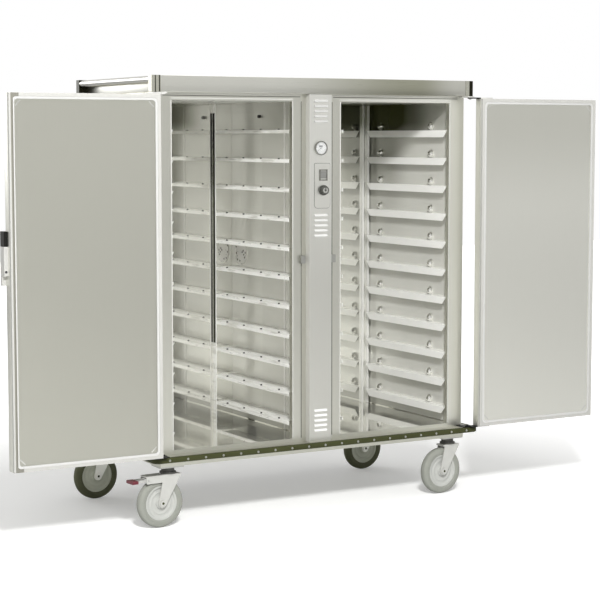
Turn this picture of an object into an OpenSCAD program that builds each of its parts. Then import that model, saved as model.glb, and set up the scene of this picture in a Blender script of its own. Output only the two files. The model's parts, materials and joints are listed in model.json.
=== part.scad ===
// Heated banquet trolley: a two-compartment insulated cabinet on four swivel casters.
// The front faces -Y and both doors stand open by half a turn. The floor is at z = 0.

/* [Cabinet] */
// Width of the roof cover
roof_w = 1440; // [1300:10:1600]
// Depth of the roof cover
roof_d = 750; // [680:10:850]
// Height of the roof fascia
fascia_h = 65; // [55:1:80]
// How far the body stands out past the roof on each side
body_past_roof = 13; // [10:1:20]
// How far the front frame sits behind the roof front
frame_set_back = 32; // [24:1:45]
// Height of the frame strip above the door openings
header_h = 30; // [24:1:60]
// Thickness of the outer sheet metal
skin_t = 1; // [0.8:0.1:2]
// Thickness of the liner sheet metal
liner_t = 0.8; // [0.6:0.1:2]

/* [Compartments] */
// Height of each door opening
opening_h = 1385; // [1200:5:1600]
// Distance from the cabinet centre to a door opening
opening_from_centre = 111; // [105:1:120]
// Width of the cavity between the two liners
cavity_w = 70; // [60:2:90]
// Thickness of a side wall with its insulation
side_wall_t = 53; // [40:1:80]
// How far the front frame covers the inner face of a side wall
frame_lap = 17; // [10:1:20]
// Depth of the returns behind the upright edges of the front frame
return_d = 30; // [10:1:40]
// Floor thickness over the deck
floor_t = 15; // [12:1:30]
// Thickness of the back wall with its insulation
back_wall_t = 32; // [26:1:60]

/* [Racks] */
// Number of tray levels
level_count = 11; // [4:1:11]
// Clear height over the highest level
top_bay_h = 115; // [90:5:160]
// Height of the lowest level over the compartment floor
first_level_h = 70; // [50:5:80]
// Width of the wide inner ledges
ledge_w = 95; // [92:1:100]
// Height of the lip on the inner ledges
lip_h = 13; // [4:1:16]
// Width of the outer runners
runner_w = 30; // [25:1:32]
// Height of the hanging flange on the outer runners
flange_h = 30; // [20:1:40]
// Distance from an outer runner's end to the back wall
runner_back_gap = 34; // [20:1:60]
// Sheet thickness of ledges and runners
rack_t = 1.2; // [1:0.1:2]
// Diameter of the domes that guide a tray
dome_d = 35; // [28:1:40]
// How far the domes stand out of the wall
dome_reach = 19; // [17.5:0.5:24]
// Diameter of the guide buttons
button_d = 8; // [6:1:10]
// Distance from the lip to the guide buttons
button_inset = 9; // [7:1:14]
// Depth of the upright at the back of the inner ledges
upright_d = 22; // [18:1:40]

/* [Column] */
// Width of the centre column
column_w = 104; // [96:2:110]
// Width of a louvre
louvre_w = 61; // [50:1:70]
// Distance from one louvre to the next
louvre_pitch = 20.7; // [18:0.1:22]
// Number of louvres in each of the three groups
louvre_count = 5; // [3:1:5]
// Diameter of the thermometer
thermometer_d = 58; // [50:1:70]
// Distance of the thermometer below the body's top
thermometer_down = 219; // [205:1:235]
// Width of the control plate
control_w = 73; // [66:1:80]
// Height of the control plate
control_h = 182; // [170:1:190]
// Distance of the control plate's middle below the body's top
control_down = 373; // [365:1:385]
// How far the control plate sits right of the column's middle
control_right = 7; // [0:1:9]
// How far the switch and the knob sit right of the column's middle
knob_right = 11; // [4:1:14]
// Diameter of the thermostat knob
knob_d = 42; // [36:1:48]
// Height of the thermostat knob below the plate's middle
knob_drop = 18; // [14:1:26]
// Height of the switch above the plate's middle
switch_rise = 44; // [40:1:48]

/* [Doors] */
// How far a closed door laps over the frame beside the column
door_lap = 25; // [15:1:40]
// Thickness of a door
door_t = 50; // [46:1:60]
// Thickness of the outer shell of a door
door_shell_t = 38; // [34:1:40]
// Gap between a closed door and the hinge strip edge
hinge_edge_gap = 27; // [26:1:30]
// Distance of a hinge pin inside the body's side
hinge_inset = 5; // [2:1:10]
// How far the hinge pins stand in front of the front frame
hinge_reach = 55; // [55:1:60]
// Radius of the hinge pins
hinge_pin_r = 5; // [4:0.5:6]
// Width of the rubber gasket
gasket_w = 13; // [10:1:16]
// Height of the latch case
latch_h = 202; // [180:1:220]
// How far the latch case stands past the free edge
latch_past = 16; // [12:1:18]

/* [Chassis] */
// How far the base pan stands inside the body on each side
base_inset_x = 5; // [2:1:15]
// How far the base pan stands inside the roof, front and back
base_inset_y = 9; // [6:1:20]
// Visible height of the base pan below the bumper
base_h = 24; // [20:1:60]
// How far the bumper stands out past the roof on each side
bumper_out_x = 56; // [42:1:70]
// How far the bumper stands out past the roof, front and back
bumper_out_y = 43; // [36:1:60]
// Height of the bumper strip
bumper_h = 21; // [16:1:30]
// Thickness of the bumper strip
bumper_t = 20; // [15:1:24]
// Radius of the bumper's outer corners
bumper_r = 30; // [25:1:40]
// Spacing of the bumper rivets
rivet_pitch = 79; // [60:1:120]
// Diameter of a push bar
push_bar_d = 28; // [24:1:30]

/* [Casters] */
// Diameter of a wheel
wheel_d = 200; // [160:5:200]
// Width of a tyre
tyre_w = 36; // [30:1:44]
// Height from the wheel top to the base pan
caster_head_h = 48; // [40:1:70]
// Horizontal distance from swivel axis to axle
trail = 38; // [35:1:55]
// Distance of a swivel axis inside the base pan's side
caster_inset_x = 52; // [52:1:90]
// Distance of a swivel axis inside the base pan's front or back
caster_inset_y = 44; // [44:1:80]
// Direction in which the left casters trail
left_trail_angle = 184; // [0:1:359]
// Direction in which the right casters trail
right_trail_angle = 184; // [0:1:359]

/* [Fits] */
// Radial clearance of pins in their bores
pin_fit = 0.05; // [0.02:0.01:0.1]
// Clearance of fixed pins, tubes and axles in their seats
press_fit = 0.02; // [0.01:0.01:0.05]
// Gap between neighbouring parts of two moving bodies
running_gap = 0.3; // [0.2:0.1:0.5]

/* [Hidden] */
$fn = 48;

eps = 1;
steel = [0.79, 0.79, 0.80];
black = [0.06, 0.06, 0.07];

// Heights, from the floor up
axle_z = wheel_d / 2;
base_z0 = wheel_d + caster_head_h;
deck_z0 = base_z0 + base_h;
body_z0 = deck_z0 + bumper_h;
floor_z = body_z0 + floor_t;
open_z1 = floor_z + opening_h;
body_z1 = open_z1 + header_h;
top_z = body_z1 + fascia_h;

// Front and back planes of the body, about the middle of the roof
front_y = -roof_d / 2 + frame_set_back;
back_lap = 2;
back_y = roof_d / 2 - back_lap;
liner_back_y = back_y - back_wall_t;
body_x = roof_w / 2 + body_past_roof;
column_y = -roof_d / 2;
bar_z = top_z - push_bar_d / 2 - 2;
liner_outer_x = body_x - side_wall_t;
opening_x1 = liner_outer_x - frame_lap;
// Welded seams between sheets stand open by this much
seam = 0.1;

// Chassis
base_w = 2 * (body_x - base_inset_x);
base_d = roof_d - 2 * base_inset_y;
bumper_w = roof_w + 2 * bumper_out_x;
bumper_d = roof_d + 2 * bumper_out_y;
deck_w = bumper_w - 2 * bumper_t;
deck_d = bumper_d - 2 * bumper_t;
deck_r = bumper_r - bumper_t;

// Doors, drawn open
hinge_x = body_x - hinge_inset;
hinge_y = front_y - hinge_reach;
seal_gap = 0.5;
door_outer_y = hinge_y - (hinge_reach - door_t - seal_gap);
door_inner_y = door_outer_y - door_t;
door_x0 = hinge_x + hinge_edge_gap;
door_x1 = 2 * hinge_x - opening_from_centre + door_lap;
door_w = door_x1 - door_x0;
door_rim = 22;
arm_t = 4.7;
lug_t = 5;
low_lug_t = 3;
door_z0 = body_z0 + low_lug_t + running_gap + arm_t;
door_z1 = body_z1 - arm_t - lug_t - running_gap - 1;
panel_t = 6;
rim_w = 9;
rim_h = 4.5;

// Tray levels and racks
level_pitch = (opening_h - first_level_h - top_bay_h) / (level_count - 1);
function level_z(i) = floor_z + first_level_h + i * level_pitch;
levels = [0 : level_count - 1];
cavity_x = cavity_w / 2;
rack_y0 = front_y + skin_t + 4;
ledge_x = cavity_x + ledge_w;
// The front corners of ledges and runners are cut to clear the frame's returns
corner_gap = [1, 2];
corner_y = front_y + skin_t + return_d + corner_gap[1];
upright_y0 = liner_back_y - upright_d + running_gap;
ledge_y1 = liner_back_y - upright_d;
runner_len = liner_back_y - runner_back_gap - rack_y0;
dome_from_end = [113, 158];
dome_y = [liner_back_y - dome_from_end[0], rack_y0 + dome_from_end[1]];
button_from_end = [98, 94];
button_pitch = (ledge_y1 - rack_y0 - button_from_end[0] - button_from_end[1]) / 3;
button_y = [for (i = [0 : 3]) rack_y0 + button_from_end[0] + i * button_pitch];

// Casters
swivel_x = base_w / 2 - caster_inset_x;
swivel_y = base_d / 2 - caster_inset_y;
caster_plate = [104, 84, 6];
crown_t = 6;
crown_clear = 8;
crown_z0 = wheel_d + crown_clear;
crown_z1 = crown_z0 + crown_t;
race_h = base_z0 - caster_plate[2] - running_gap - crown_z1;
race_r = [33, 26];
kingpin_r = 8;
nut_r = 13;
nut_h = 7;
leg_t = 4;
leg_in = tyre_w / 2 + 4;
leg_foot_r = 18;
crown_back = 46;
crown_fore = 40;
axle_r = 8;
axle_head_r = axle_r + 5;
rim_r = 0.7 * wheel_d / 2;
pedal_u = trail + 63;
pedal_pin_r = 4;
pedal_drop = 11;
pedal_z = crown_z0 - pedal_drop;
housing_h = 25;

// A box from its low and high corners
module span(a, b) {
    translate(a) cube(b - a);
}

// A copy on each side of the middle plane
module both_sides() {
    for (s = [-1, 1]) scale_x(s) children();
}

// Mirrors its children where s is -1
module scale_x(s) {
    if (s < 0) mirror([1, 0, 0]) children();
    else children();
}

// A rectangle with true round corners
module round_rect(w, d, r) {
    square([w - 2 * r, d], center = true);
    square([w, d - 2 * r], center = true);
    for (x = [-1, 1], y = [-1, 1])
        translate([x * (w / 2 - r), y * (d / 2 - r)]) circle(r);
}

// A bar of round section along Y
module bar_y(r, y0, y1) {
    translate([0, y0, 0]) rotate([-90, 0, 0]) cylinder(r = r, h = y1 - y0);
}

// A bar of round section along X
module bar_x(r, x0, x1) {
    translate([x0, 0, 0]) rotate([0, 90, 0]) cylinder(r = r, h = x1 - x0);
}

// Chassis: pan, deck, bumper

cross_plate = [84, 4];

module base_pan() {
    color(steel) difference() {
        span([-base_w / 2, -base_d / 2, base_z0],
             [base_w / 2, base_d / 2, body_z0 - skin_t]);
        span([-base_w / 2 + skin_t, -base_d / 2 + skin_t, base_z0 - eps],
             [base_w / 2 - skin_t, base_d / 2 - skin_t, body_z0 - 2 * skin_t]);
    }
    // Cross plates that carry the casters
    color(steel) for (y = [-1, 1])
        span([-base_w / 2 + skin_t, y * swivel_y - cross_plate[0] / 2, base_z0],
             [base_w / 2 - skin_t, y * swivel_y + cross_plate[0] / 2, base_z0 + cross_plate[1]]);
}

module deck_plate() {
    color(steel) difference() {
        translate([0, 0, deck_z0]) linear_extrude(bumper_h) round_rect(deck_w, deck_d, deck_r);
        translate([0, 0, deck_z0 - eps]) linear_extrude(bumper_h - skin_t + eps)
            round_rect(deck_w - 2 * skin_t, deck_d - 2 * skin_t, deck_r - skin_t);
    }
}

module bumper_strip() {
    color(black) translate([0, 0, deck_z0]) linear_extrude(bumper_h) difference() {
        round_rect(bumper_w, bumper_d, bumper_r);
        round_rect(deck_w, deck_d, deck_r);
    }
}

// One low rivet head standing out along +Z
module rivet_head() {
    cylinder(r1 = 5, r2 = 3.2, h = 2.4);
}

module bumper_rivets() {
    z = deck_z0 + bumper_h / 2;
    across = floor((bumper_w / 2 - bumper_r) / rivet_pitch);
    along = floor((bumper_d / 2 - bumper_r) / rivet_pitch);
    color(steel) {
        for (i = [-across : across], s = [-1, 1])
            translate([i * rivet_pitch, s * bumper_d / 2, z]) rotate([-s * 90, 0, 0]) rivet_head();
        for (i = [-along : along], s = [-1, 1])
            translate([s * bumper_w / 2, i * rivet_pitch, z]) rotate([0, s * 90, 0]) rivet_head();
    }
}

// Body: skins, liners, insulation, roof

module side_panels() {
    color(steel) both_sides()
        span([body_x - skin_t, front_y + skin_t, body_z0],
             [body_x, back_y - skin_t, body_z1]);
}

inlet_from_side = 253;
inlet_x = body_x - inlet_from_side;
inlet_z = body_z0 + 115;
inlet_w = 44;
inlet_h = 34;
inlet_depth = 20;

module back_panel() {
    color(steel) difference() {
        span([-body_x, back_y - skin_t, body_z0], [body_x, back_y, body_z1]);
        span([inlet_x - inlet_w / 2, back_y - skin_t - eps, inlet_z - inlet_h / 2],
             [inlet_x + inlet_w / 2, back_y + eps, inlet_z + inlet_h / 2]);
    }
}

// The frame round the openings, welded from strips
module front_frame() {
    y1 = front_y + skin_t;
    color(steel) {
        span([-opening_from_centre, front_y, body_z0], [opening_from_centre, y1, body_z1]);
        both_sides() {
            span([opening_x1, front_y, body_z0], [body_x, y1, body_z1]);
            for (z = [[body_z0, floor_z], [open_z1, body_z1]])
                span([opening_from_centre + seam, front_y, z[0]], [opening_x1 - seam, y1, z[1]]);
            for (x = [opening_from_centre - skin_t, opening_x1])
                span([x, front_y, floor_z + seam], [x + skin_t, y1 + return_d, open_z1 - seam]);
        }
    }
}

duct_len = 274;
duct_y1 = liner_back_y - 7;
duct_y0 = duct_y1 - duct_len;
duct_z0 = floor_z + 22;
duct_z1 = open_z1 - 42;

// Each liner is welded from a floor, a ceiling, two walls and a back
module compartment_liners() {
    y0 = front_y + skin_t;
    color(steel) both_sides() {
        for (z = [floor_z - liner_t, open_z1])
            span([cavity_x + seam, y0, z], [liner_outer_x - seam, liner_back_y - seam, z + liner_t]);
        span([cavity_x + seam, liner_back_y, floor_z - liner_t],
             [liner_outer_x - seam, liner_back_y + liner_t, open_z1 + liner_t]);
        span([liner_outer_x, y0, floor_z - liner_t],
             [liner_outer_x + liner_t, liner_back_y + liner_t, open_z1 + liner_t]);
        difference() {
            span([cavity_x - liner_t, y0, floor_z - liner_t],
                 [cavity_x, liner_back_y + liner_t, open_z1 + liner_t]);
            span([cavity_x - liner_t - eps, duct_y0, duct_z0], [cavity_x + eps, duct_y1, duct_z1]);
        }
    }
}

module insulation() {
    lx = liner_outer_x + liner_t;
    by = liner_back_y + liner_t;
    front = front_y + skin_t;
    color([0.93, 0.88, 0.60]) {
        both_sides()
            span([lx, front, body_z0], [body_x - skin_t, back_y - skin_t, body_z1]);
        difference() {
            span([-lx, by, body_z0], [lx, back_y - skin_t, body_z1]);
            span([inlet_x - inlet_w / 2 - 1, back_y - inlet_depth - 1, inlet_z - inlet_h / 2 - 1],
                 [inlet_x + inlet_w / 2 + 1, back_y, inlet_z + inlet_h / 2 + 1]);
        }
        span([-lx, front, body_z0], [lx, by, floor_z - liner_t]);
        span([-lx, front, open_z1 + liner_t], [lx, by, body_z1]);
    }
}

module roof_cover() {
    color([0.84, 0.84, 0.85]) difference() {
        span([-roof_w / 2, -roof_d / 2, body_z1], [roof_w / 2, roof_d / 2, top_z]);
        span([-roof_w / 2 + skin_t, -roof_d / 2 + skin_t, body_z1 - eps],
             [roof_w / 2 - skin_t, roof_d / 2 - skin_t, top_z - skin_t]);
    }
}

// Push bars

bracket_w = 38;
bracket_d = 30;
socket_depth = 20;
tube_t = 2;
bar_x_mid = roof_w / 2 + bracket_w - push_bar_d / 2 - 1;

module push_bar_brackets() {
    color([0.60, 0.60, 0.62]) both_sides() for (s = [-1, 1]) difference() {
        translate([roof_w / 2, s > 0 ? roof_d / 2 - bracket_d : -roof_d / 2, body_z1])
            cube([bracket_w, bracket_d, fascia_h]);
        translate([bar_x_mid, 0, bar_z])
            bar_y(push_bar_d / 2 + press_fit,
                  s > 0 ? roof_d / 2 - bracket_d - eps : -roof_d / 2 + bracket_d - socket_depth,
                  s > 0 ? roof_d / 2 - bracket_d + socket_depth : -roof_d / 2 + bracket_d + eps);
    }
}

module push_bars() {
    half = roof_d / 2 - bracket_d + socket_depth;
    color([0.85, 0.85, 0.86]) both_sides() translate([bar_x_mid, 0, bar_z]) difference() {
        bar_y(push_bar_d / 2, -half, half);
        bar_y(push_bar_d / 2 - tube_t, -half - eps, half + eps);
    }
}

// Hinges

lug_x0 = hinge_x - 20;
lug_x1 = hinge_x + 12;
lug_y0 = hinge_y - 12;
pin_past = 4;

module hinge_brackets() {
    color([0.66, 0.66, 0.68]) both_sides() {
        // Upper and lower lug, each with the hole of its pin
        difference() {
            span([lug_x0, lug_y0, body_z1 - 1 - lug_t], [lug_x1, front_y, body_z1 - 1]);
            translate([hinge_x, hinge_y, body_z1 - 2 * lug_t])
                cylinder(r = hinge_pin_r + press_fit, h = 3 * lug_t);
        }
        difference() {
            span([lug_x0, lug_y0, body_z0], [lug_x1, front_y, body_z0 + low_lug_t]);
            translate([hinge_x, hinge_y, body_z0 - lug_t])
                cylinder(r = hinge_pin_r + press_fit, h = 3 * lug_t);
        }
        // Upper and lower pin
        translate([hinge_x, hinge_y, door_z1 - pin_past])
            cylinder(r = hinge_pin_r, h = body_z1 - 1 - door_z1 + pin_past);
        translate([hinge_x, hinge_y, body_z0])
            cylinder(r = hinge_pin_r, h = door_z0 - body_z0 + pin_past);
    }
}

// Centre column and its controls

louvre_down = [24, 490];
louvre_low = 132;
louvre_tops = [body_z1 - louvre_down[0], body_z1 - louvre_down[1], body_z0 + louvre_low];
thermo_z = body_z1 - thermometer_down;
control_z = body_z1 - control_down;
control_t = 2;
switch_z = control_z + switch_rise;
switch_w = 38;
switch_h = 46;
knob_z = control_z - knob_drop;
window_w = 28;
window_h = 36;
shaft_r = 3;

// The hood of one pressed louvre, open at its lower side
module louvre_hood() {
    rotate([90, 0, 90]) translate([0, 0, -louvre_w / 2]) linear_extrude(louvre_w)
        polygon([[0, 10], [-5, 1], [-5, 0], [-4, 0], [1, 9], [1, 10]]);
}

module centre_column() {
    color(steel) {
        difference() {
            span([-column_w / 2, column_y, body_z0], [column_w / 2, front_y, body_z1 - 1]);
            span([-column_w / 2 + skin_t, column_y + skin_t, body_z0 + skin_t],
                 [column_w / 2 - skin_t, front_y + eps, body_z1 - 1 - skin_t]);
            for (top = louvre_tops, i = [0 : louvre_count - 1])
                translate([-louvre_w / 2 + 2, column_y - eps, top - i * louvre_pitch - 7])
                    cube([louvre_w - 4, skin_t + 2 * eps, 6]);
            span([knob_right - window_w / 2 - 2, column_y - eps, switch_z - window_h / 2 - 2],
                 [knob_right + window_w / 2 + 2, column_y + skin_t + eps, switch_z + window_h / 2 + 2]);
            translate([knob_right, 0, knob_z])
                bar_y(shaft_r + 1, column_y - eps, column_y + skin_t + eps);
        }
        for (top = louvre_tops, i = [0 : louvre_count - 1])
            translate([0, column_y, top - i * louvre_pitch - 8]) louvre_hood();
    }
}

module control_plate() {
    color([0.82, 0.82, 0.81]) difference() {
        span([control_right - control_w / 2, column_y - control_t, control_z - control_h / 2],
             [control_right + control_w / 2, column_y, control_z + control_h / 2]);
        span([knob_right - window_w / 2 - 2, column_y - control_t - eps, switch_z - window_h / 2 - 2],
             [knob_right + window_w / 2 + 2, column_y + eps, switch_z + window_h / 2 + 2]);
        translate([knob_right, 0, knob_z])
            bar_y(shaft_r + pin_fit, column_y - control_t - eps, column_y + eps);
    }
}

module thermometer_bezel() {
    r = thermometer_d / 2;
    color([0.85, 0.85, 0.86]) translate([0, column_y, thermo_z]) rotate([90, 0, 0])
        difference() {
            cylinder(r = r, h = 7);
            translate([0, 0, -eps]) cylinder(r = r - 4, h = 7 + 2 * eps);
        }
}

module thermometer_dial() {
    color("white") translate([0, column_y, thermo_z]) rotate([90, 0, 0]) {
        cylinder(r = thermometer_d / 2 - 4, h = 1.5);
        // Post on which the needle turns
        cylinder(r = 1, h = 4);
    }
}

module thermometer_needle() {
    r = thermometer_d / 2 - 9;
    color(black) translate([0, column_y - 2, thermo_z]) rotate([90, 0, 0])
        difference() {
            union() {
                rotate([0, 0, 220]) translate([-4, -0.7, 0]) cube([r + 4, 1.4, 1]);
                cylinder(r = 3, h = 1);
            }
            translate([0, 0, -eps]) cylinder(r = 1 + pin_fit, h = 1 + 2 * eps);
        }
}

module thermometer_glass() {
    color([0.80, 0.88, 0.90, 0.4]) translate([0, column_y - 4.6, thermo_z])
        rotate([90, 0, 0]) cylinder(r = thermometer_d / 2 - 4, h = 1.4);
}

rocker_w = window_w - 1;
rocker_h = 32;
rocker_t = 8;
rocker_tilt = 8;
rocker_y = column_y;
rocker_pin_r = 2;

module switch_bezel() {
    y0 = column_y - control_t - 3;
    color(black) translate([knob_right, 0, 0]) difference() {
        union() {
            span([-switch_w / 2, y0, switch_z - switch_h / 2],
                 [switch_w / 2, column_y - control_t, switch_z + switch_h / 2]);
            span([-window_w / 2 - 1.9, y0, switch_z - window_h / 2 - 1.9],
                 [window_w / 2 + 1.9, column_y + 14, switch_z + window_h / 2 + 1.9]);
        }
        span([-window_w / 2, y0 - eps, switch_z - window_h / 2],
             [window_w / 2, column_y + 12, switch_z + window_h / 2]);
        translate([0, rocker_y, switch_z])
            bar_x(rocker_pin_r + pin_fit, -window_w / 2 - 1.2, window_w / 2 + 1.2);
    }
}

module switch_rocker() {
    color([0.62, 0.62, 0.60]) translate([knob_right, rocker_y, switch_z]) {
        rotate([rocker_tilt, 0, 0])
            translate([-rocker_w / 2, -rocker_t / 2, -rocker_h / 2]) cube([rocker_w, rocker_t, rocker_h]);
        bar_x(rocker_pin_r, -window_w / 2 - 1, window_w / 2 + 1);
    }
}

module thermostat_knob() {
    y1 = column_y - control_t - running_gap;
    color(black) translate([knob_right, 0, knob_z]) {
        translate([0, y1, 0]) rotate([90, 0, 0]) {
            cylinder(r = knob_d / 2, h = 6);
            cylinder(r = knob_d / 2 - 4, h = 19);
        }
        span([-2.5, y1 - 21, -knob_d / 2 + 5], [2.5, y1 - 17, knob_d / 2 - 5]);
        bar_y(shaft_r, y1, column_y + 20);
    }
}

module thermostat_body() {
    color([0.55, 0.55, 0.50]) translate([knob_right, 0, 0]) difference() {
        span([-20, column_y + skin_t, knob_z - 20], [20, column_y + 26, knob_z + 20]);
        translate([0, 0, knob_z]) bar_y(shaft_r + pin_fit, column_y, column_y + 21);
    }
}

// Fan, heater and duct between the two compartments

fan_y = duct_y1 - 77;
fan_rise = 732;
fan_z = floor_z + fan_rise;
fan_r = 50;
return_slots = 5;
return_pitch = 9;
return_slot = [55, 85, 5];
return_rise = 4;
duct_knob = [14, 7, 12];
motor_r = 30;
motor_l = 24;
fan_shaft_r = 3;
fan_x0 = -cavity_x + liner_t + 3;
motor_x0 = cavity_x - liner_t - motor_l;

module duct_panel() {
    color(steel) {
        // Left panel with the fan hole, the return grille and the knob on top
        difference() {
            span([-cavity_x, duct_y0, duct_z0], [-cavity_x + liner_t, duct_y1, duct_z1]);
            translate([0, fan_y, fan_z]) bar_x(fan_r - 4, -cavity_x - eps, -cavity_x + liner_t + eps);
            for (i = [0 : return_slots - 1])
                translate([-cavity_x - eps, duct_y0 + return_slot[0],
                           duct_z0 + return_rise + i * return_pitch])
                    cube([liner_t + 2 * eps, return_slot[1], return_slot[2]]);
        }
        translate([-cavity_x, duct_y0 + duct_knob[0], duct_z1 - duct_knob[0]])
            bar_x(duct_knob[1], -duct_knob[2], 0);
        // Right panel, which carries the motor
        span([cavity_x - liner_t, duct_y0, duct_z0], [cavity_x, duct_y1, duct_z1]);
    }
}

module fan_guard() {
    color([0.80, 0.80, 0.81]) translate([-cavity_x - 3, fan_y, fan_z]) rotate([0, 90, 0]) {
        difference() {
            cylinder(r = fan_r + 3, h = 3);
            translate([0, 0, -eps]) cylinder(r = fan_r - 3, h = 3 + 2 * eps);
        }
        for (r = [14, 26, 38]) difference() {
            cylinder(r = r + 1, h = 2);
            translate([0, 0, -eps]) cylinder(r = r - 1, h = 2 + 2 * eps);
        }
        for (a = [0, 45, 90, 135]) rotate([0, 0, a])
            translate([-(fan_r - 2), -1, 0]) cube([2 * (fan_r - 2), 2, 2]);
    }
}

module fan_impeller() {
    color([0.35, 0.36, 0.38]) translate([fan_x0, fan_y, fan_z]) rotate([0, 90, 0])
        difference() {
            union() {
                cylinder(r = 12, h = 18);
                for (a = [0 : 60 : 300]) rotate([0, 0, a])
                    translate([8, -1, 0]) rotate([32, 0, 0]) translate([0, -8, 4]) cube([fan_r - 16, 16, 2]);
            }
            translate([0, 0, -eps]) cylinder(r = fan_shaft_r + pin_fit, h = 18 + 2 * eps);
        }
}

module fan_motor() {
    color([0.25, 0.26, 0.30]) translate([0, fan_y, fan_z]) {
        bar_x(motor_r, motor_x0, cavity_x - liner_t);
        bar_x(fan_shaft_r, fan_x0 + 1, motor_x0 + 1);
    }
}

heater_r = 4;
heater_bend_r = 40;
heater_margin = 10;
heater_block_h = 30;
heater_len = 300;
heater_y = duct_y0 + 70;
heater_rise = 210;
heater_z0 = floor_z + heater_rise;

// A bent tube on its terminal block, which hangs on the right liner
module heating_element() {
    z1 = heater_z0 + heater_len;
    block_x0 = -10;
    color([0.45, 0.33, 0.28]) translate([0, heater_y, 0]) {
        for (s = [-1, 1])
            translate([0, s * heater_bend_r, heater_z0 + heater_block_h])
                cylinder(r = heater_r, h = heater_len - heater_block_h);
        translate([0, 0, z1]) rotate([90, 0, 90]) rotate_extrude(angle = 180)
            translate([heater_bend_r, 0]) circle(heater_r);
        translate([block_x0, -heater_bend_r - heater_margin, heater_z0])
            cube([cavity_x - liner_t - block_x0, 2 * (heater_bend_r + heater_margin), heater_block_h]);
    }
}

// Racks

// One wide inner ledge with its down-turned lip
module inner_ledge(z) {
    translate([0, 0, z - rack_t]) linear_extrude(rack_t)
        polygon([[cavity_x, corner_y], [opening_from_centre + corner_gap[0], corner_y],
                 [ledge_x, rack_y0], [ledge_x, ledge_y1], [cavity_x, ledge_y1]]);
    span([ledge_x - rack_t, rack_y0, z - rack_t - lip_h], [ledge_x, ledge_y1, z]);
}

slot_rise = 330;
slot_down = 40;

// The upright behind the ledges, with its tall slot
module upright() {
    x0 = ledge_x - rack_t;
    difference() {
        span([x0, upright_y0, floor_z], [ledge_x, liner_back_y, open_z1]);
        span([x0 - eps, upright_y0 + 5, floor_z + slot_rise],
             [ledge_x + eps, liner_back_y - 6, open_z1 - slot_down]);
    }
}

module inner_racks() {
    color([0.82, 0.82, 0.83]) both_sides() {
        for (i = levels) inner_ledge(level_z(i));
        upright();
    }
}

// One outer runner: a ledge and a hanging flange with cut corners
module outer_runner(z) {
    x0 = liner_outer_x - runner_w;
    y1 = rack_y0 + runner_len;
    translate([0, 0, z - rack_t]) linear_extrude(rack_t)
        polygon([[x0, rack_y0], [opening_x1 - corner_gap[0], corner_y],
                 [liner_outer_x, corner_y], [liner_outer_x, y1], [x0, y1]]);
    translate([x0, rack_y0, z]) rotate([90, 0, 90]) linear_extrude(rack_t)
        polygon([[0, 0], [runner_len, 0], [runner_len - flange_h + rack_t, -flange_h],
                 [flange_h - rack_t, -flange_h], [0, -rack_t]]);
}

module outer_runners() {
    color([0.82, 0.82, 0.83]) both_sides() for (i = levels) outer_runner(level_z(i));
}

// A dome on the outer wall, standing out along -X
module guide_dome() {
    base_r = dome_d / 2;
    ball_r = base_r - 2;
    neck = dome_reach - ball_r;
    rotate([0, -90, 0]) {
        cylinder(r = base_r, h = neck);
        translate([0, 0, neck]) difference() {
            sphere(ball_r);
            translate([-dome_d, -dome_d, -2 * dome_d - neck / 2]) cube(2 * dome_d);
        }
    }
}

module tray_guides() {
    color([0.86, 0.86, 0.87]) both_sides() for (i = levels) {
        for (y = dome_y) translate([liner_outer_x, y, level_z(i) + dome_d / 2 + 1]) guide_dome();
        for (y = button_y) translate([ledge_x - button_inset, y, level_z(i)]) cylinder(d = button_d, h = 5);
    }
}

// Door strikers and power inlet

latch_x0 = door_x1 - 30;
latch_x1 = door_x1 + latch_past;
latch_z0 = body_z0 + 0.494 * (body_z1 - body_z0);
latch_z1 = latch_z0 + latch_h;
striker_z = latch_z0 + 49;
striker_x = 2 * hinge_x - latch_x1 + latch_past / 2 - 6;

module door_strikers() {
    color([0.30, 0.30, 0.32]) both_sides() {
        span([striker_x - 10, front_y - 16, striker_z - 16], [striker_x + 10, front_y, striker_z + 16]);
    }
}

module power_inlet() {
    color(black) difference() {
        union() {
            span([inlet_x - 32, back_y, inlet_z - 25], [inlet_x + 32, back_y + 4, inlet_z + 25]);
            span([inlet_x - inlet_w / 2 + 0.1, back_y - inlet_depth, inlet_z - inlet_h / 2 + 0.1],
                 [inlet_x + inlet_w / 2 - 0.1, back_y + 1, inlet_z + inlet_h / 2 - 0.1]);
        }
        span([inlet_x - 14, back_y - 14, inlet_z - 10], [inlet_x + 14, back_y + 4 + eps, inlet_z + 10]);
    }
    color(steel) for (i = [-1, 0, 1])
        span([inlet_x + i * 7 - 1, back_y - 14, inlet_z - 3], [inlet_x + i * 7 + 1, back_y - 2, inlet_z + 3]);
}

// Doors, drawn open on the +X side

// A folded pan, closed all round, with a rim that carries gasket and inner panel
module door_shell(s) {
    y0 = door_outer_y - door_shell_t;
    color(steel) scale_x(s) difference() {
        span([door_x0, y0, door_z0], [door_x1, door_outer_y, door_z1]);
        span([door_x0 + skin_t, y0 + skin_t, door_z0 + skin_t],
             [door_x1 - skin_t, door_outer_y - skin_t, door_z1 - skin_t]);
        span([door_x0 + door_rim, y0 - eps, door_z0 + door_rim],
             [door_x1 - door_rim, y0 + skin_t + eps, door_z1 - door_rim]);
    }
}

// The area inside the gasket
module door_field(extra) {
    round_rect(door_w - 2 - 2 * extra, door_z1 - door_z0 - 2 - 2 * extra, 24 - extra / 2);
}

// Stands a flat shape up in the plane of the door, y going from 'a' to 'b'
module on_door(a, b) {
    translate([(door_x0 + door_x1) / 2, b, (door_z0 + door_z1) / 2])
        rotate([90, 0, 0]) linear_extrude(b - a) children();
}

module door_gasket(s) {
    y1 = door_outer_y - door_shell_t;
    color(black) scale_x(s) on_door(door_inner_y, y1) difference() {
        square([door_w - 2, door_z1 - door_z0 - 2], center = true);
        door_field(gasket_w);
    }
}

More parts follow.
